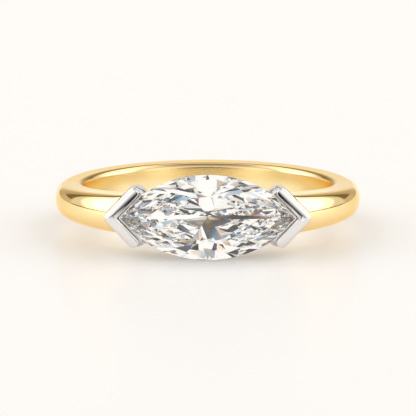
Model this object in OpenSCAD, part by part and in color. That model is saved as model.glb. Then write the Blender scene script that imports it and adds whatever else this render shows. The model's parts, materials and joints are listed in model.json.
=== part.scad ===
// East west ring: a polished gold band and a marquise stone that lies across the finger, held at
// its two points by white V prongs.
//
// The ring is drawn round its finger hole. The hole's axis is Z, the stone faces -Y and its
// length runs along X. lay_down() then rests the ring on its side, on the stone's lower edge and
// on the back of the band. Stone and prongs are drawn facing up, with Z as the distance from the
// hole's axis, and face_front() turns them to the front.

/* [Finger hole] */
// Diameter of the finger hole
finger_d = 16.5; // [14:0.1:22]
// Rounding where the hole meets the band's side faces
hole_round = 0.35; // [0.1:0.05:0.4]

/* [Band] */
// Thickness of the band at its back and sides
band_t = 1.85; // [1.4:0.05:2.6]
// Width of the band along the finger, at its back
back_w = 2.8; // [1.8:0.05:3.6]
// Width of the band at its two sides, where it is narrowest
side_w = 2; // [1.4:0.05:3]
// Depth over which the outer face rounds off to the side faces, at the back
back_round = 0.35; // [0.2:0.05:0.7]
// The same depth at the two sides
side_round = 0.95; // [0.5:0.05:1.2]
// How square that rounding is: 2 is a half oval, 4 is nearly a box
face_square = 2.25; // [2:0.05:4]
// How gently the width grows from the sides to the back
back_ease = 1.4; // [0.8:0.1:3]

/* [Shoulders] */
// Width of the band along the finger, beside the prongs
shoulder_w = 2.54; // [1.8:0.02:3.2]
// Depth of the outer face's rounding where the shoulders meet the prongs
shoulder_round = 0.9; // [0.4:0.05:1.1]
// Angle from the stone at which the band starts to come forward
shoulder_start = 85; // [60:1:88]
// How gently it does so: 1 is at once, 3 is late
shoulder_ease = 1.25; // [1.2:0.05:3]
// How far the shoulders' front lies behind the stone's girdle
shoulder_drop = 0.85; // [0.6:0.05:1.5]
// How far in from the prongs' outer corners the shoulders turn to their flat front
shoulder_in = 0.84; // [0.4:0.02:1.2]
// How gently the width grows from the sides to the shoulders
width_ease = 1.75; // [0.8:0.05:3]

/* [Stone] */
// Length of the stone between its points
stone_l = 11.7; // [9:0.1:14]
// Width of the stone
stone_w = 5.46; // [4.6:0.02:6.5]
// Height of the crown over the girdle
crown_h = 0.75; // [0.5:0.05:1]
// Thickness of the girdle where facets meet it
girdle_t = 0.16; // [0.12:0.01:0.3]
// Depth of the pavilion under the girdle
pavilion_h = 2.25; // [1.6:0.05:2.8]
// Table's length as a share of the stone's
table_l_share = 0.68; // [0.6:0.01:0.75]
// Table's width as a share of the stone's
table_w_share = 0.53; // [0.45:0.01:0.62]
// Distance from the girdle to the table's slanted corners
table_corner_in = 1; // [0.8:0.02:1.3]
// Gap between the culet and the finger hole
culet_gap = 0.3; // [0.2:0.05:1]

/* [Prongs] */
// Angle between a prong's arms and the stone's length
arm_angle = 46; // [40:1:50]
// Width of an arm, its inner lip included
arm_w = 0.83; // [0.6:0.01:1.1]
// Length of an arm along its outer edge
arm_l = 2.86; // [2.2:0.02:3.4]
// Width of the thin lip that lies on the stone
lip_w = 0.13; // [0.08:0.01:0.2]
// Depth of the groove between arm and lip
groove_h = 0.1; // [0.05:0.01:0.15]
// How far the lip's top lies under the arms' crest
lip_drop = 0.14; // [0.05:0.01:0.2]
// How much of the stone's point the prong covers
tip_cover = 0.27; // [0.1:0.01:0.5]
// Height of the arms' crest over the girdle
prong_rise = 0.48; // [0.4:0.01:0.7]
// Height over which the arms' top is rounded
arm_dome = 0.36; // [0.15:0.01:0.4]
// Rounding of the outer corner at each arm's end
end_round = 0.4; // [0.2:0.01:0.45]
// How much further the wall under an arm runs along the stone
wall_more = 0.2; // [0.1:0.01:0.4]
// How far that wall stands back from the arm's outer edge
wall_in = 0.06; // [0.02:0.01:0.15]
// Width of that wall
wall_w = 0.92; // [0.7:0.01:1.2]
// Rounding of the outer corner at that wall's end
wall_round = 0.75; // [0.3:0.01:0.8]
// How deep the prongs are let into the shoulders
prong_inlet = 0.9; // [0.4:0.05:1.2]

/* [Fit] */
// Clearance round the stone in its seat
seat_gap = 0.03; // [0.02:0.01:0.06]
// Clearance between prongs and band
joint_gap = 0.03; // [0.02:0.01:0.06]

/* [Hidden] */

// Finger hole and band
finger_r = finger_d / 2;
band_r = finger_r + band_t;
back_steps = 100;
front_steps = 16;
face_steps = 14;
round_steps = 3;
round_end = 60;
cut_in = 0.3;

// Stone: half sizes, and the arcs of its two sides
stone_a = stone_l / 2;
stone_b = stone_w / 2;
side_r = (stone_a * stone_a + stone_b * stone_b) / (2 * stone_b);
point_turn = asin(stone_a / side_r);
corner_share = 0.56;
star_drop = 0.33;
lower_half = 0.76;
arc_steps = 4;
girdle_r = finger_r + culet_gap + pavilion_h + girdle_t / 2;

// Prongs: places in the stone's plane, and heights over the hole's axis
inner_corner_x = stone_a - tip_cover;
outer_corner_x = inner_corner_x + arm_w / sin(arm_angle);
point_round = 0.36;
lip_round = 0.12;
groove_w = 0.05;
dome_steps = 10;
trim = 0.1;
crest_z = girdle_r + prong_rise;
wall_under = 0.25;
wall_lap = 0.05;
wall_top_z = girdle_r - wall_under;

// Shoulders: their front corner, seen along the hole
shoulder_y = girdle_r - shoulder_drop;
shoulder_x = outer_corner_x - shoulder_in;
shoulder_r = norm([shoulder_x, shoulder_y]);
shoulder_end = atan2(shoulder_x, shoulder_y);
inlet_z = shoulder_y - prong_inlet;

// Band: outline along the hole, width, and the section at an angle from the stone

// Distance of the outer face's crest from the hole's axis, phi degrees from the stone
function crest_r(phi) =
    let (f = abs(phi > 180 ? phi - 360 : phi))
    f < shoulder_end ? shoulder_y / cos(f)
    : f > shoulder_start ? band_r
    : band_r + (shoulder_r - band_r)
        * pow((shoulder_start - f) / (shoulder_start - shoulder_end), shoulder_ease);

// Half of the band's width at the distance y behind the hole's axis
function half_w(y) =
    y < 0 ? (side_w + (shoulder_w - side_w) * pow(min(-y / shoulder_y, 1), width_ease)) / 2
    : (side_w + (back_w - side_w) * pow(min(y / band_r, 1), back_ease)) / 2;

// A point of the band: distance from the axis, angle from the stone, share and drop of the width
function band_point(r, phi, share, drop) =
    let (y = -r * cos(phi), z = half_w(y))
    [r * sin(phi), y, share * z - sign(share) * drop];

// Depth of the outer face's rounding, which is deepest at the sides
function round_depth(phi) =
    let (f = abs(phi > 180 ? phi - 360 : phi))
    f < shoulder_end ? shoulder_round
    : f < 90 ? shoulder_round
        + (side_round - shoulder_round) * (f - shoulder_end) / (90 - shoulder_end)
    : side_round + (back_round - side_round) * (f - 90) / 90;

function sharpened(v) = sign(v) * pow(abs(v), 2 / face_square);

// Section from the hole's lower edge over the outer face to the hole's upper edge
function section(phi) =
    let (
        r = crest_r(phi),
        depth = round_depth(phi),
        face = [
            for (i = [0 : face_steps])
                let (t = -90 + 180 * i / face_steps)
                [r - depth * (1 - sharpened(cos(t))), sharpened(sin(t)), 0]
        ],
        flat_r = finger_r + hole_round,
        middle_r = (r - depth + flat_r) / 2,
        top_round = [
            for (i = [0 : round_steps])
                let (t = round_end * i / round_steps)
                [finger_r + hole_round * (1 - sin(t)), 1, hole_round * (1 - cos(t))]
        ],
        last = top_round[round_steps],
        upper = concat([[middle_r, 1, 0]], top_round,
            [[last[0] - cut_in, 1, last[2] + cut_in * tan(round_end)]]),
        lower = [for (i = [len(upper) - 1 : -1 : 0]) [upper[i][0], -1, upper[i][2]]]
    )
    [for (p = concat(lower, face, upper)) band_point(p[0], phi, p[1], p[2])];

// Angles from the stone at which the band has a section, once round
function stations() = concat(
    [for (i = [0 : front_steps - 1]) shoulder_end * (2 * i / front_steps - 1)],
    [for (i = [0 : back_steps - 1]) shoulder_end + (360 - 2 * shoulder_end) * i / back_steps]
);

// Resting place: the line that touches the stone's lower edge and the back of the band
back_section = section(180);
stone_foot = [-(girdle_r - girdle_t / 2), -stone_b];
lean = min([for (p = back_section) if (p[2] < 0)
    atan2(p[2] - stone_foot[1], p[1] - stone_foot[0])]);
rest_z = stone_foot[0] * sin(lean) - stone_foot[1] * cos(lean);
front_y = -max(
    (girdle_r + girdle_t / 2 + crown_h) * cos(lean) + stone_b * table_w_share * sin(lean),
    crest_z * cos(lean) + arm_l * sin(arm_angle) * sin(lean)
);
back_y = max([for (p = back_section) p[1] * cos(lean) + p[2] * sin(lean)]);

module lay_down() {
    translate([0, -(front_y + back_y) / 2, rest_z]) rotate([-lean, 0, 0]) children();
}

module face_front() {
    rotate([90, 0, 0]) children();
}

// Stone: points of its outline, and its facets

// Outline point and outward direction at u, where 0 is the point at +X, 2 is +Y and 4 is -X.
// Whole numbers are where the main facets touch the girdle, and halves lie between two of them.
function side_turn(u) =
    let (v = abs(((u % 4) + 4) % 4 - 2))
    point_turn * (v < 1 ? v * corner_share : corner_share + (v - 1) * (1 - corner_share));
function side_sign(u) = let (v = ((u % 8) + 8) % 8) [v < 2 || v > 6 ? 1 : -1, v > 4 ? -1 : 1];
function outline(u) =
    let (t = side_turn(u), s = side_sign(u))
    [s[0] * side_r * sin(t), s[1] * max(side_r * cos(t) - (side_r - stone_b), 0)];
function outward(k) =
    k % 4 == 0 ? [side_sign(k)[0], 0]
    : let (t = side_turn(k), s = side_sign(k)) [s[0] * sin(t), s[1] * cos(t)];

// Where two slanted planes, each level along its girdle tangent, meet at one height
function meet(n1, c1, n2, c2) =
    let (d = n1[0] * n2[1] - n1[1] * n2[0])
    [(c1 * n2[1] - c2 * n1[1]) / d, (n1[0] * c2 - n2[0] * c1) / d];

// Distance from the girdle in to the table at main facet k
function table_in(k) =
    k % 4 == 0 ? stone_a * (1 - table_l_share)
    : k % 2 == 0 ? stone_b * (1 - table_w_share)
    : table_corner_in;

// Height of the plane through three points, above the place p
function plane_z(a, b, c, p) =
    let (n = cross(b - a, c - a))
    a[2] - (n[0] * (p[0] - a[0]) + n[1] * (p[1] - a[1])) / n[2];

function with_z(p, z) = [p[0], p[1], z];

// The two girdle facets beside the tip point, from main facet k on to the next one: the outline
// between them follows each facet's plane, so the girdle is scalloped as a cut stone's is
function girdle_run(k, tip, z) = [
    for (i = [0 : 2 * arc_steps - 1])
        let (
            first = i < arc_steps,
            g = with_z(outline(first ? k : k + 1), z),
            m = with_z(outline(k + 0.5), z),
            p = outline(k + i / (2 * arc_steps))
        )
        i % arc_steps == 0 ? with_z(p, z) : with_z(p, plane_z(tip, g, m, p))
];

// A stone grown by the gap on every side, its girdle's middle at height 0
module stone_body(gap = 0) {
    top = girdle_t / 2 + gap / 2;
    crown = crown_h + gap;
    deep = pavilion_h + gap;
    ring = 16 * arc_steps;
    function reach(k, in = 0) = outward(k) * outline(k) - in;
    table_ring = [for (k = [0 : 7])
        with_z(outline(k) - outward(k) * table_in(k), top + crown)];
    stars = [for (k = [0 : 7])
        let (h = crown * (1 - star_drop))
        with_z(meet(outward(k), reach(k, table_in(k) * h / crown),
            outward(k + 1), reach(k + 1, table_in(k + 1) * h / crown)), top + h)];
    lows = [for (k = [0 : 7])
        let (s = 1 - lower_half)
        with_z(s * meet(outward(k), reach(k), outward(k + 1), reach(k + 1)),
            -top - deep * (1 - s))];
    crown_run = [for (k = [0 : 7]) each girdle_run(k, stars[k], top)];
    pavilion_run = [for (k = [0 : 7]) each girdle_run(k, lows[k], -top)];
    grown = 1 + gap / stone_b;
    points = concat(
        [for (p = concat(table_ring, stars, crown_run, pavilion_run, lows))
            [p[0] * grown, p[1] * grown, p[2]]],
        [[0, 0, -top - deep]]
    );
    s0 = 8;
    c0 = 16;
    p0 = c0 + ring;
    l0 = p0 + ring;
    culet = l0 + 8;
    half = arc_steps;
    faces = concat(
        [[7, 6, 5, 4, 3, 2, 1, 0]],
        [for (k = [0 : 7]) [k, (k + 1) % 8, s0 + k]],
        [for (k = [0 : 7]) [k, s0 + k, c0 + 2 * half * k, s0 + (k + 7) % 8]],
        [for (k = [0 : 7], j = [0, 1])
            concat([s0 + k],
                [for (i = [half : -1 : 0]) c0 + (2 * half * k + half * j + i) % ring])],
        [for (i = [0 : ring - 1]) [c0 + i, c0 + (i + 1) % ring, p0 + (i + 1) % ring, p0 + i]],
        [for (k = [0 : 7], j = [0, 1])
            concat([l0 + k], [for (i = [0 : half]) p0 + (2 * half * k + half * j + i) % ring])],
        [for (k = [0 : 7]) [culet, l0 + (k + 7) % 8, p0 + 2 * half * k, l0 + k]]
    );
    polyhedron(points = points, faces = faces);
}

module placed_stone(gap = 0) {
    translate([0, 0, girdle_r]) stone_body(gap);
}

// Prongs: outline of the V at +X, its arms' section, and the solid

// Points of a round corner between the directions d1 and d2, drawn inside the corner p
function corner(p, d1, d2, r, steps = 6) =
    let (
        turn = acos(d1 * d2),
        reach = r / tan(turn / 2),
        middle = (d1 + d2) / norm(d1 + d2) * r / sin(turn / 2),
        from = p + d1 * reach - (p + middle),
        to = p + d2 * reach - (p + middle),
        swing = 180 - turn
    )
    [for (i = [0 : steps])
        p + middle + (from * sin(swing * (1 - i / steps)) + to * sin(swing * i / steps))
            / sin(swing)];

along = [-cos(arm_angle), sin(arm_angle)];
inward = [-sin(arm_angle), -cos(arm_angle)];
function flipped(p) = [p[0], -p[1]];

// The V's outline, with arms of length l and width arm that are rounded by r at their ends,
// standing back from the arms' outer edge by back, and grown by the gap
function v_outline(l, arm, r, back = 0, gap = 0) =
    let (
        apex = [outer_corner_x + (gap - back) / sin(arm_angle), 0],
        w = arm + 2 * gap,
        end_out = apex + along * (l + gap),
        end_in = end_out + inward * w,
        arm_end = concat(
            corner(end_out, -along, inward, r + gap),
            corner(end_in, -inward, -along, lip_round)
        )
    )
    concat(
        corner(apex, flipped(along), along, point_round + gap),
        arm_end,
        [[apex[0] - w / sin(arm_angle), 0]],
        [for (i = [len(arm_end) - 1 : -1 : 0]) flipped(arm_end[i])]
    );

// Section across an arm: distance in from its outer edge, and height. It is drawn wider than the
// arm, and the V's outline trims it.
function arm_section() =
    let (
        w = arm_w - lip_w,
        edge_z = crest_z - arm_dome,
        lip_z = crest_z - lip_drop,
        groove_z = lip_z - groove_h,
        low = wall_top_z - wall_lap
    )
    concat(
        [[-trim, low], [-trim, edge_z]],
        [for (i = [0 : dome_steps])
            let (t = i / dome_steps, side = 1 - pow(abs(2 * t - 1), 3))
            [w * t, t < 1 ? edge_z + arm_dome * side : groove_z]],
        [[w + groove_w * 0.7, groove_z], [w + groove_w, lip_z], [arm_w - groove_w * 0.3, lip_z],
         [arm_w, lip_z - groove_w], [arm_w + trim, lip_z - groove_w], [arm_w + trim, low]]
    );

// One arm as a bar, cut square through the V's point so that two of them meet in a mitre
module arm_bar() {
    reach = arm_l + 1;
    intersection() {
        translate([outer_corner_x, 0, 0]) rotate([0, 0, 180 - arm_angle])
            translate([-1, 0, 0]) rotate([90, 0, 90])
                linear_extrude(height = reach) polygon(arm_section());
        translate([outer_corner_x - 2 * reach, 0, 0])
            cube([2 * reach + 1, reach, crest_z + 1]);
    }
}

module wall_outline(gap = 0) {
    polygon(v_outline(arm_l + wall_more, wall_w, wall_round, wall_in, gap));
}

// The V prong at +X
module v_prong_body() {
    difference() {
        union() {
            intersection() {
                linear_extrude(height = crest_z + 1)
                    polygon(v_outline(arm_l, arm_w, end_round));
                union() {
                    arm_bar();
                    mirror([0, 1, 0]) arm_bar();
                }
            }
            translate([0, 0, inlet_z + joint_gap])
                linear_extrude(height = wall_top_z - inlet_z - joint_gap) wall_outline();
        }
        placed_stone(seat_gap);
    }
}

// Whole pieces

module band_body() {
    rows = [for (phi = stations()) section(phi)];
    n = len(rows);
    m = len(rows[0]);
    polyhedron(
        points = [for (row = rows) each row],
        faces = [for (i = [0 : n - 1], j = [0 : m - 1])
            let (a = i * m + j, b = i * m + (j + 1) % m,
                 c = ((i + 1) % n) * m + (j + 1) % m, d = ((i + 1) % n) * m + j)
            each [[a, b, c], [a, c, d]]]
    );
}

module prong_inlets() {
    for (side = [0, 1]) mirror([side, 0, 0]) translate([0, 0, inlet_z])
        linear_extrude(height = girdle_r) wall_outline(joint_gap);
}

module band() {
    color([0.93, 0.76, 0.42]) lay_down() difference() {
        band_body();
        translate([0, 0, -back_w]) cylinder(h = 2 * back_w, r = finger_r, $fn = 180);
        face_front() prong_inlets();
        face_front() placed_stone(2 * seat_gap);
    }
}

module right_v_prong() {
    color([0.87, 0.86, 0.85]) lay_down() face_front() v_prong_body();
}

module left_v_prong() {
    color([0.87, 0.86, 0.85]) lay_down() face_front() mirror([1, 0, 0]) v_prong_body();
}

module marquise_stone() {
    color([0.93, 0.95, 0.98]) lay_down() face_front() placed_stone();
}

band();
left_v_prong();
right_v_prong();
marquise_stone();
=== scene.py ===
import json
from math import atan2, cos, pi, radians, sin, tan

import bmesh
import bpy
from mathutils import Matrix, Vector
from mathutils.bvhtree import BVHTree
from mathutils.interpolate import poly_3d_calc


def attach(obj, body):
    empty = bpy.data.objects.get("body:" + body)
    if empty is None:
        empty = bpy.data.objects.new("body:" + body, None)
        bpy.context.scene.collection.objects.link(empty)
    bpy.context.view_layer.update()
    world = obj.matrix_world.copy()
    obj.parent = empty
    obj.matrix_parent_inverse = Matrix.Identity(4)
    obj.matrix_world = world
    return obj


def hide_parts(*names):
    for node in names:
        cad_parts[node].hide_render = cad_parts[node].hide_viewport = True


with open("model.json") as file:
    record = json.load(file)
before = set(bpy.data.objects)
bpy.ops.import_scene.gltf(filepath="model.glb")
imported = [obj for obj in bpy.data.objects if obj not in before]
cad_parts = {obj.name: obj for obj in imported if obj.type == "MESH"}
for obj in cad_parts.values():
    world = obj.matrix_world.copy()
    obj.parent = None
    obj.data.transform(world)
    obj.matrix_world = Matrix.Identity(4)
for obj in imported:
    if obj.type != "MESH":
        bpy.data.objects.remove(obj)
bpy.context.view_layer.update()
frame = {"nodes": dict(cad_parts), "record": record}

# The band is one piece of polished yellow gold. It is cast with a domed outside, flat side faces
# and a round hole, comes forward into two shoulders, and has a seat cut for prongs and stone.
# Everything is drawn in millimetres round the hole's axis, with the stone towards -Y.
mm = 0.001
hole = frame["record"]["mounts"][0]
hole_middle = Vector(hole["pos_m"])
lean = atan2(hole["axis"][1], hole["axis"][2])
laid_down = Matrix.Translation(hole_middle) @ Matrix.Rotation(-lean, 4, "X") @ Matrix.Scale(mm, 4)
face_front = Matrix.Rotation(radians(90), 4, "X")

finger_r, hole_round = hole["dims"]["r_mm"], 0.35
band_thickness = 1.85
band_r = finger_r + band_thickness
side_half, back_half, shoulder_half = 1.0, 1.4, 1.27
front_ease, back_ease, shoulder_ease = 1.75, 1.4, 1.25
girdle_r, prong_tip_x = 10.88, 6.734
shoulder_drop, shoulder_in = 0.85, 0.84
shoulder_y, shoulder_x = girdle_r - shoulder_drop, prong_tip_x - shoulder_in
shoulder_r = Vector((shoulder_x, shoulder_y)).length
shoulder_end, shoulder_start = atan2(shoulder_x, shoulder_y), radians(85)


def crest_r(turn):
    turn = abs(turn)
    if turn < shoulder_end:
        return shoulder_y / cos(turn)
    if turn > shoulder_start:
        return band_r
    share = (shoulder_start - turn) / (shoulder_start - shoulder_end)
    return band_r + (shoulder_r - band_r) * share**shoulder_ease


def half_width(y):
    if y < 0:
        return side_half + (shoulder_half - side_half) * min(-y / shoulder_y, 1) ** front_ease
    return side_half + (back_half - side_half) * min(y / band_r, 1) ** back_ease


# How deep the outer edge is rounded, and how square: a power of 2 is a round dome
side_round, back_round = 0.95, 0.35
shoulder_square, side_square, back_square = 2, 2.28, 2.45


def face_rounding(turn):
    turn = abs(turn)
    if turn < pi / 2:
        share = max(0, (turn - shoulder_end) / (pi / 2 - shoulder_end))
        return side_round, shoulder_square + (side_square - shoulder_square) * share
    share = (turn - pi / 2) / (pi / 2)
    return side_round - (side_round - back_round) * share, side_square + (back_square - side_square) * share


touching = 1e-5


def object_from(bm, name, matrix=None):
    bmesh.ops.remove_doubles(bm, verts=bm.verts, dist=touching)
    bmesh.ops.recalc_face_normals(bm, faces=bm.faces)
    if matrix:
        bm.transform(matrix)
    mesh = bpy.data.meshes.new(name)
    bm.to_mesh(mesh)
    bm.free()
    made = bpy.data.objects.new(name, mesh)
    bpy.context.scene.collection.objects.link(made)
    return made


def carve(obj, steps):
    for operation, tool in steps:
        cut = obj.modifiers.new("cut", "BOOLEAN")
        cut.operation, cut.object, cut.solver = operation, tool, "MANIFOLD"
    bpy.context.view_layer.update()
    mesh = bpy.data.meshes.new_from_object(obj.evaluated_get(bpy.context.evaluated_depsgraph_get()))
    obj.modifiers.clear()
    obj.data = mesh
    bm = bmesh.new()
    bm.from_mesh(mesh)
    bmesh.ops.triangulate(bm, faces=[f for f in bm.faces if len(f.verts) > 4], ngon_method="EAR_CLIP")
    bm.to_mesh(mesh)
    bm.free()
    for _, tool in steps:
        bpy.data.objects.remove(tool)


# Section of the band in a plain form, spun once round the hole and then drawn out to its width
# and thickness at each place. From 0 to 1 it is the hole's rounding, from 1 to 2 the flat side
# face, and past 2 the domed outside. While it is spun it stands 1 off the axis.
face_steps, round_steps, spin_steps = 48, 8, 240
flat_steps = (0.03, 0.1, 0.3, 0.5, 0.7, 0.9, 0.97)


def squared(v, power):
    return (1 if v >= 0 else -1) * abs(v) ** power


outside = [(2 + cos(t), sin(t)) for t in [pi * (i / face_steps - 0.5) for i in range(face_steps + 1)]]
upper = [(2 - s, 1) for s in flat_steps]
upper += [(1 - sin(t), cos(t)) for t in [pi / 2 * i / round_steps for i in range(round_steps + 1)]]
lower = [(r, -z) for r, z in reversed(upper)]
bm = bmesh.new()
ring = [bm.verts.new((0, -r - 1, z)) for r, z in lower + outside + upper]
edges = [bm.edges.new((a, b)) for a, b in zip(ring, ring[1:] + ring[:1])]
bmesh.ops.spin(
    bm, geom=ring + edges, cent=(0, 0, 0), axis=(0, 0, 1), angle=2 * pi, steps=spin_steps, use_merge=True
)
for v in bm.verts:
    turn = atan2(v.co.x, -v.co.y)
    r, z = Vector((v.co.x, v.co.y)).length - 1, v.co.z
    side = 1 if z >= 0 else -1
    depth, power = face_rounding(turn)
    flat_r, edge_r = finger_r + hole_round, crest_r(turn) - depth
    if r >= 2:
        out, z = edge_r + depth * squared(r - 2, 2 / power), squared(z, 2 / power)
    elif r >= 1:
        out = flat_r + (edge_r - flat_r) * (r - 1)
    else:
        out = finger_r + hole_round * r
    half = half_width(-out * cos(turn))
    up = half * z if r >= 2 else side * (half - hole_round * (1 - abs(z)) * (r < 1))
    v.co = (out * sin(turn), -out * cos(turn), up)
band = object_from(bm, "gold_band")

# A V prong seen from the front has two arms on a shared tip. Its plates are cut to this outline:
# back is how far their outer side lies inside the arms', grown a gap all round, edge the rounding
# round their front, and flat the share of that rounding's depth that stays.
arm_turn, arm_width, arm_length = radians(46), 0.84, 2.86
end_round, inner_round, point_round, least_round = 0.4, 0.12, 0.36, 0.03
arm_round_steps, near, steep = 10, 1e-4, 0.5
along = Vector((-cos(arm_turn), sin(arm_turn), 0))
inward = Vector((-sin(arm_turn), -cos(arm_turn), 0))


def v_plate(
    low, high, length=arm_length, width=arm_width, rounds=(end_round, inner_round),
    back=0, grown=0, edge=0, flat=1, side=1,
):
    bm = bmesh.new()
    tip = Vector((prong_tip_x + (grown - back) / sin(arm_turn), 0, low))
    w = width + 2 * grown
    out = tip + along * (length + grown)
    across = Vector((1, -1, 1))
    corners = [tip, out, out + inward * w, tip - Vector((w / sin(arm_turn), 0, 0))]
    corners += [(out + inward * w) * across, out * across]
    verts = [bm.verts.new(p) for p in corners]
    bm.faces.new(verts)
    tip_round = max(point_round + grown - back, least_round) / tan(arm_turn)
    for picked, radius in (((0,), tip_round), ((1, 5), rounds[0] + grown), ((2, 4), rounds[1])):
        bmesh.ops.bevel(
            bm, geom=[verts[i] for i in picked], offset=radius, offset_type="OFFSET",
            affect="VERTICES", segments=arm_round_steps, profile=0.5, material=-1,
        )
    fold = sorted((v for v in bm.verts if abs(v.co.y) < near), key=lambda v: v.co.x)
    bmesh.ops.connect_verts(bm, verts=[fold[0], fold[-1]])
    made = bmesh.ops.extrude_face_region(bm, geom=bm.faces[:])
    top = [v for v in made["geom"] if isinstance(v, bmesh.types.BMVert)]
    bmesh.ops.translate(bm, verts=top, vec=(0, 0, high - low))
    if edge:
        bm.normal_update()
        rim = [e for e in bm.edges if all(abs(v.co.z - high) < touching for v in e.verts)]
        rim = [e for e in rim if any(abs(f.normal.z) < steep for f in e.link_faces)]
        bmesh.ops.bevel(
            bm, geom=rim, offset=edge, offset_type="OFFSET", affect="EDGES",
            segments=arm_round_steps, profile=0.5, material=-1, clamp_overlap=False,
        )
        for v in bm.verts:
            if v.co.z > high - edge - near:
                v.co.z = high - (high - v.co.z) * flat
    if side < 0:
        bmesh.ops.scale(bm, verts=bm.verts, vec=(-1, 1, 1))
    return object_from(bm, "prong_part", face_front)


wall_more, wall_width, wall_round, wall_in = 0.2, 0.92, 0.75, 0.06
prong_inlet, wall_under = 0.9, 0.25
inlet_z, wall_top = shoulder_y - prong_inlet, girdle_r - wall_under


def wall_plate(low, high, side, grown=0):
    rounds = (wall_round, inner_round)
    return v_plate(low, high, arm_length + wall_more, wall_width, rounds, wall_in, grown, side=side)


# The stone's own shape, grown by the gap at its sides and over and under it, cuts its seats
stone = frame["nodes"]["marquise_stone"]
at_girdle = Matrix.Translation((0, 0, girdle_r))
stone_half, stone_depth = 2.73, 1.2


def grown_stone(gap):
    bm = bmesh.new()
    bm.from_mesh(stone.data)
    bmesh.ops.remove_doubles(bm, verts=bm.verts, dist=near * mm)
    bm.transform((laid_down @ face_front @ at_girdle).inverted())
    wider, deeper = 1 + gap / stone_half, 1 + gap / stone_depth
    bmesh.ops.scale(bm, verts=bm.verts, vec=(wider, wider, deeper))
    return object_from(bm, "seat", face_front @ at_girdle)


joint_gap, band_seat_gap, past_crest = 0.03, 0.06, 2
uncut = band.data
cutters = [wall_plate(inlet_z, girdle_r + past_crest, side, joint_gap) for side in (1, -1)]
cutters.append(grown_stone(band_seat_gap))
carve(band, [("DIFFERENCE", cutter) for cutter in cutters])

# The cuts leave narrow faces on the band, so its shine is kept from the ring before they were made.
cut_angle = radians(15)
places, lights = [v.co for v in uncut.vertices], [v.normal for v in uncut.vertices]
whole = BVHTree.FromPolygons(places, [face.vertices for face in uncut.polygons])
shine = []
for face in band.data.polygons:
    for i in face.vertices:
        at, _, nearest, _ = whole.find_nearest(band.data.vertices[i].co)
        ring = uncut.polygons[nearest].vertices
        parts = poly_3d_calc([places[k] for k in ring], at)
        smooth = sum((lights[k] * part for k, part in zip(ring, parts)), Vector()).normalized()
        shine.append(smooth if smooth.dot(face.normal) > cos(cut_angle) else face.normal.copy())
band.data.polygons.foreach_set("use_smooth", [True] * len(band.data.polygons))
band.data.normals_split_custom_set(shine)
band.data.transform(laid_down)


def surface(name):
    mat = bpy.data.materials.new(name)
    mat.use_nodes = True
    nodes, links = mat.node_tree.nodes, mat.node_tree.links
    shader = nodes["Principled BSDF"]
    place = nodes.new("ShaderNodeTexCoord").outputs["Object"]
    return mat, nodes, links, shader, place


def noise(nodes, links, place, scale, detail=3):
    tex = nodes.new("ShaderNodeTexNoise")
    tex.inputs["Scale"].default_value = scale
    tex.inputs["Detail"].default_value = detail
    links.new(place, tex.inputs["Vector"])
    return tex.outputs["Fac"]


def ramp(nodes, links, value, start, end, low=0, high=1):
    span = nodes.new("ShaderNodeMapRange")
    span.inputs["From Min"].default_value, span.inputs["From Max"].default_value = start, end
    span.inputs["To Min"].default_value, span.inputs["To Max"].default_value = low, high
    links.new(value, span.inputs["Value"])
    return span.outputs["Result"]


def tinted(nodes, links, fac, one, other):
    mix = nodes.new("ShaderNodeMix")
    mix.data_type = "RGBA"
    for socket, colour in ((mix.inputs[6], one), (mix.inputs[7], other)):
        if isinstance(colour, tuple):
            socket.default_value = (*colour, 1)
        else:
            links.new(colour, socket)
    links.new(fac, mix.inputs[0])
    return mix.outputs[2]


# Distance from the finger hole's axis in millimetres, measured level, as the lean is small
def off_axis(nodes, links, place):
    centred = nodes.new("ShaderNodeMapping")
    centred.inputs["Location"].default_value = -hole_middle
    links.new(place, centred.inputs["Vector"])
    flat = nodes.new("ShaderNodeVectorMath")
    flat.operation = "MULTIPLY"
    flat.inputs[1].default_value = (1 / mm, 1 / mm, 0)
    links.new(centred.outputs["Vector"], flat.inputs[0])
    length = nodes.new("ShaderNodeVectorMath")
    length.operation = "LENGTH"
    links.new(flat.outputs[0], length.inputs[0])
    return length.outputs["Value"]


# A metal has two close shades, a fine haze and a slight unevenness, with grains counted per metre.
# The satin rows are painted tones, darker for painted shade and paler for painted light, that it
# has inside a radius, where it is also rougher; each row gives the radii where it is full and gone.
shade_grain, haze_grain, wave_grain = 260, 900, 420
satin_haze = 0.2


def polished_metal(name, one, other, roughness, edge_tint=(1, 1, 1), satin_and_painted_tones=()):
    mat, nodes, links, shader, place = surface(name)
    shader.inputs["Metallic"].default_value = 1
    shader.inputs["Specular Tint"].default_value = (*edge_tint, 1)
    colour = tinted(nodes, links, noise(nodes, links, place, shade_grain), one, other)
    grain = noise(nodes, links, place, haze_grain)
    haze = ramp(nodes, links, grain, 0.3, 0.7, roughness * 0.8, roughness * 1.2)
    # Each row paints its tone inside its radius of the hole's axis, painted shade or painted light as
    # given, and raises the roughness there
    for shade, full, gone in satin_and_painted_tones:
        outside = ramp(nodes, links, off_axis(nodes, links, place), full, gone)
        colour = tinted(nodes, links, outside, shade, colour)
        worn = nodes.new("ShaderNodeMix")
        worn.inputs[2].default_value = satin_haze
        links.new(haze, worn.inputs[3])
        links.new(outside, worn.inputs[0])
        haze = worn.outputs[0]
    links.new(colour, shader.inputs["Base Color"])
    links.new(haze, shader.inputs["Roughness"])
    bump = nodes.new("ShaderNodeBump")
    bump.inputs["Strength"].default_value, bump.inputs["Distance"].default_value = 0.03, 0.02 * mm
    links.new(noise(nodes, links, place, wave_grain, 1), bump.inputs["Height"])
    links.new(bump.outputs["Normal"], shader.inputs["Normal"])
    return mat
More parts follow.
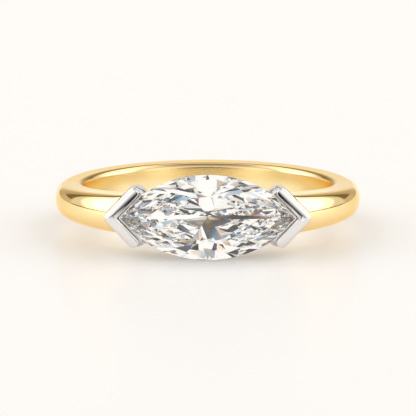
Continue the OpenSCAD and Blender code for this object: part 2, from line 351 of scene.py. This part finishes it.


# The hole's rounding has painted shade, a darker gold, and the wall inside it painted light, a paler gold
# against the orange of light bounced in the hole; both are also rougher
painted_rounding_shade, painted_wall_light = (0.64, 0.44, 0.2), (0.95, 0.8, 0.47)
satin_and_painted_tones = ((painted_rounding_shade, finger_r + 0.19, finger_r + 0.37), (painted_wall_light, finger_r + 0.03, finger_r + 0.11))
yellow_gold = polished_metal(
    "polished yellow gold", (0.97, 0.745, 0.39), (0.96, 0.73, 0.375), 0.06, (1, 0.89, 0.64), satin_and_painted_tones
)
band.data.materials.clear()
band.data.materials.append(yellow_gold)
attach(band, "root")
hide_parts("band")

# The two V prongs are white metal, cast with the seat and polished. Each has two domed arms with
# a thin lip beyond a groove, which is pressed on the stone, and a wall under them. They are
# soldered into the band.
white_metal = polished_metal(
    "polished white metal", (0.8, 0.785, 0.775), (0.78, 0.765, 0.755), 0.06, (0.16, 0.14, 0.13)
)
# Painted shade: a darker, rougher copy of the white metal for the prongs' sides, groove and wall
dull_painted_shade_metal = polished_metal("dull white metal", (0.6, 0.58, 0.565), (0.55, 0.535, 0.52), 0.22)
polished, dull_painted_shade = 0, 1
crest_z, groove_z, lip_z = girdle_r + 0.48, girdle_r + 0.2, girdle_r + 0.36
bar_width, bar_rounds, bar_edge = 0.69, (0.38, 0.3), 0.12
roof_over, roof_under, roof_edge, roof_flat, roof_tilt = 0.8, 1, 0.6, 0.4, tan(radians(4))
lip_width, lip_edge, groove_edge = 0.09, 0.03, 0.05
arm_reach, arm_drop, arm_slices = arm_length * sin(arm_turn), 0.09, 14
wall_lap, prong_seat_gap = 0.05, 0.03
crease, painted_shade_from = radians(32), -0.3


def bend_arms(obj):
    bm = bmesh.new()
    bm.from_mesh(obj.data)
    for i in range(1 - arm_slices, arm_slices):
        bmesh.ops.bisect_plane(
            bm, geom=bm.verts[:] + bm.edges[:] + bm.faces[:], dist=touching,
            plane_co=(0, 0, arm_reach * i / arm_slices), plane_no=(0, 0, 1),
        )
    for v in bm.verts:
        if -v.co.y > wall_top:
            v.co.y += arm_drop * min(abs(v.co.z) / arm_reach, 1) ** 2
    bm.to_mesh(obj.data)
    bm.free()


# Faces that don't face the front get painted shade, the darker dull copy of the metal
def finished(obj, flank, front):
    obj.data.materials.append(white_metal)
    obj.data.materials.append(dull_painted_shade_metal)
    for face in obj.data.polygons:
        face.material_index = flank if face.normal.y > painted_shade_from else front
    return obj


# The roof is a wider bar with a broad rounding, tilted inwards, which domes the bar under it
def domed_bar(low, side):
    bar = v_plate(low, crest_z, width=bar_width, rounds=bar_rounds, edge=bar_edge, side=side)
    roof = v_plate(
        low - roof_under, crest_z, arm_length + roof_over, bar_width + roof_over,
        edge=roof_edge, flat=roof_flat, side=side,
    )
    for v in roof.data.vertices:
        if -v.co.y > low:
            inward_by = (prong_tip_x - side * v.co.x) * sin(arm_turn) - abs(v.co.z) * cos(arm_turn)
            v.co.y += roof_tilt * (bar_width - inward_by)
    return finished(bar, dull_painted_shade, polished), finished(roof, polished, polished)


for side, node in ((1, "right_v_prong"), (-1, "left_v_prong")):
    low = wall_top - wall_lap
    prong, roof = domed_bar(low, side)
    # The groove's floor has painted shade all over
    base = finished(v_plate(low, groove_z, edge=groove_edge, side=side), dull_painted_shade, dull_painted_shade)
    lip_back = arm_width - lip_width
    lip_length = arm_length - lip_back / tan(arm_turn)
    lip_rounds = (lip_edge, lip_edge)
    lip = v_plate(low, lip_z, lip_length, lip_width, lip_rounds, lip_back, edge=lip_edge, side=side)
    carve(prong, [("INTERSECT", roof), ("UNION", base), ("UNION", finished(lip, dull_painted_shade, polished))])
    bend_arms(prong)
    # The wall under the arms has painted shade all over
    wall = finished(wall_plate(inlet_z + joint_gap, wall_top, side), dull_painted_shade, dull_painted_shade)
    carve(prong, [("UNION", wall), ("DIFFERENCE", grown_stone(prong_seat_gap))])
    prong.data.transform(laid_down)
    prong.name = f"white_{node}"
    prong.data.polygons.foreach_set("use_smooth", [True] * len(prong.data.polygons))
    prong.data.set_sharp_from_angle(angle=crease)
    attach(prong, "root")
    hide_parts(node)

# The stone is clear and cut with a table, stars, kites and halves over a fine girdle, and long
# pavilion facets that meet in a culet. It is held by the prongs alone. The band isn't seen
# through it, because the stone has lights of its own.
mat, nodes, links, shader, place = surface("clear cut stone")
shader.inputs["Transmission Weight"].default_value = 1
shader.inputs["IOR"].default_value = 2.42
shader.inputs["Specular Tint"].default_value = (0.45, 0.45, 0.45, 1)
shader.inputs["Roughness"].default_value = 0
stone_grain = noise(nodes, links, place, 700)
clearness = tinted(nodes, links, stone_grain, (0.97, 0.985, 1), (1, 0.99, 0.97))
links.new(clearness, shader.inputs["Base Color"])
stone.data.materials.clear()
stone.data.materials.append(mat)
band.visible_transmission = False

# The floor is a wide pale board with a satin surface, which shows the ring faintly. It glows a
# little, and more so where the metal mirrors it, and isn't seen through the stone.
bm = bmesh.new()
bmesh.ops.create_grid(bm, x_segments=1, y_segments=1, size=1.5)
floor = object_from(bm, "pale_floor")
mat, nodes, links, shader, place = surface("pale_floor")
board_grain = noise(nodes, links, place, 60)
pale = tinted(nodes, links, board_grain, (0.59, 0.581, 0.572), (0.58, 0.571, 0.562))
links.new(pale, shader.inputs["Base Color"])
shader.inputs["Roughness"].default_value = 0.3
shader.inputs["IOR"].default_value = 1.12
shader.inputs["Emission Color"].default_value = (1, 0.96, 0.915, 1)
mirrored = nodes.new("ShaderNodeLightPath").outputs["Is Glossy Ray"]
links.new(ramp(nodes, links, mirrored, 0, 1, 0.24, 0.345), shader.inputs["Emission Strength"])
floor.data.materials.append(mat)
floor.visible_transmission = False

# Light: a pale studio with a dark camera in its bright front, a ring of softboxes overhead, a tall
# softbox at either side with a dark gap behind it, and a bright wall at the back. Only directions
# over the floor count.
scene = bpy.context.scene
world = bpy.data.worlds.new("studio")
scene.world = world
world.use_nodes = True
nodes, links = world.node_tree.nodes, world.node_tree.links
direction = nodes.new("ShaderNodeTexCoord").outputs["Generated"]
axes = nodes.new("ShaderNodeSeparateXYZ")
links.new(direction, axes.inputs[0])


def calculated(operation, *values):
    node = nodes.new("ShaderNodeMath")
    node.operation = operation
    for socket, value in zip(node.inputs, values):
        if isinstance(value, (int, float)):
            socket.default_value = value
        else:
            links.new(value, socket)
    return node.outputs[0]


# Directions in degrees: the height over the horizon, and the angle around the ring, which is 0 on
# the camera's side and 180 behind the ring. The dark camera has its middle under the horizon.
camera_under = 4
height = calculated("DEGREES", calculated("ARCSINE", axes.outputs["Z"]))
front = calculated("MULTIPLY", axes.outputs["Y"], -1)
around = calculated("ABSOLUTE", calculated("DEGREES", calculated("ARCTAN2", axes.outputs["X"], front)))
over_camera = calculated("POWER", calculated("ADD", height, camera_under), 2)
from_camera = calculated("SQRT", calculated("ADD", calculated("POWER", around, 2), over_camera))


# Masks, each with a soft edge as wide to either side as the last number says
def rising(value, middle, soft):
    step = nodes.new("ShaderNodeMapRange")
    step.interpolation_type = "SMOOTHSTEP"
    step.inputs["From Min"].default_value = middle - soft
    step.inputs["From Max"].default_value = middle + soft
    links.new(value, step.inputs["Value"])
    return step.outputs["Result"]


def under(value, middle, soft):
    return calculated("SUBTRACT", 1, rising(value, middle, soft))


def both(one, other):
    return calculated("MULTIPLY", one, other)


def side_box(reach, slope, soft):
    slanted = calculated("SUBTRACT", around, calculated("MULTIPLY", height, slope))
    across = both(rising(around, 76, 2), under(slanted, reach, soft))
    return both(across, both(rising(height, 2.2, 0.8), under(height, 60, 3)))


# Each light covers the ones before it: three of the front, the camera, the softboxes overhead, the
# middle of the ceiling, three of the wall at the back, and three of the side softboxes.
light = 0.2
for strength, mask in (
    (0.8, under(around, 80, 3)),
    (1.3, both(under(around, 62, 5), under(height, 42, 4))),
    (0.9, both(under(around, 40, 6), under(height, 5, 2))),
    (0.03, both(under(from_camera, 32, 16), rising(height, 4.5, 2))),
    (1.6, both(rising(around, 60, 12), both(rising(height, 50, 3), under(height, 68, 6)))),
    (0.3, rising(height, 78, 5)),
    (0.62, both(rising(around, 128, 4), under(height, 10, 1.5))),
    (0.55, both(rising(around, 153, 5), under(height, 33, 4))),
    (0.95, both(rising(around, 168, 6), under(height, 22, 4))),
    (0.85, side_box(130, 0.45, 3)),
    (1.6, side_box(109, 0.9, 3)),
    (2.6, side_box(96, 0.9, 8)),
):
    blend = nodes.new("ShaderNodeMix")
    links.new(mask, blend.inputs[0])
    blend.inputs[3].default_value = strength
    if isinstance(light, float):
        blend.inputs[2].default_value = light
    else:
        links.new(light, blend.inputs[2])
    light = blend.outputs[0]
background = nodes["Background"]
warmth = both(under(light, 0.5, 0.4), rising(around, 80, 8))
links.new(tinted(nodes, links, warmth, (1, 0.985, 0.965), (1, 0.8, 0.52)), background.inputs["Color"])
links.new(light, background.inputs["Strength"])

# The stone alone is lit by many small lamps with dark gaps, as such a stone is photographed. Red,
# green and blue see them a little apart, which gives each lamp the stone's gold and blue edges.
lamps_turn, colours_apart = (1.23, 5.65, 4.14), (0.0011, -0.0011, 0.0011)
lamp_density, gap_light = 19, 0.03
seen = nodes.new("ShaderNodeCombineColor")
for i, lamp_light in enumerate((1.08, 1.04, 0.99)):
    turned = nodes.new("ShaderNodeVectorMath")
    turned.inputs[1].default_value = [turn + i * apart for turn, apart in zip(lamps_turn, colours_apart)]
    links.new(direction, turned.inputs[0])
    patches = noise(nodes, links, turned.outputs[0], lamp_density, 2)
    links.new(ramp(nodes, links, patches, 0.41, 0.55, gap_light, lamp_light), seen.inputs[i])
lamps = nodes.new("ShaderNodeBackground")
links.new(seen.outputs["Color"], lamps.inputs["Color"])
through = nodes.new("ShaderNodeMixShader")
links.new(nodes.new("ShaderNodeLightPath").outputs["Is Transmission Ray"], through.inputs[0])
links.new(background.outputs[0], through.inputs[1])
links.new(lamps.outputs[0], through.inputs[2])
links.new(through.outputs[0], nodes["World Output"].inputs["Surface"])

# The camera has a long lens, at the photograph's height and distance. It aims so that the middle
# of the finger hole falls on its pixel of the picture.
distance, pixels_per_mm = 275, 15.084
picture_px, hole_column_px, hole_row_px = 416, 207.67, 196.77
rise = radians(6.967) + lean
back = Vector((0, -cos(rise), sin(rise)))
upward = Vector((0, sin(rise), cos(rise)))
sideways = Vector((1, 0, 0))
camera = bpy.data.objects.new("camera", bpy.data.cameras.new("camera"))
scene.collection.objects.link(camera)
camera.data.lens = camera.data.sensor_width * distance * pixels_per_mm / picture_px
camera.data.clip_start, camera.data.clip_end = 0.01, 10
camera.location = hole_middle + back * distance * mm
px = mm / pixels_per_mm
right_of_hole, below_hole = picture_px / 2 - hole_column_px, picture_px / 2 - hole_row_px
aim = hole_middle + sideways * right_of_hole * px - upward * below_hole * px
camera.rotation_euler = (aim - camera.location).to_track_quat("-Z", "Y").to_euler()
scene.camera = camera
scene.view_settings.view_transform = "Standard"
scene.cycles.max_bounces = 40
scene.cycles.transmission_bounces = 40
scene.cycles.glossy_bounces = 40
scene.cycles.caustics_reflective = scene.cycles.caustics_refractive = True
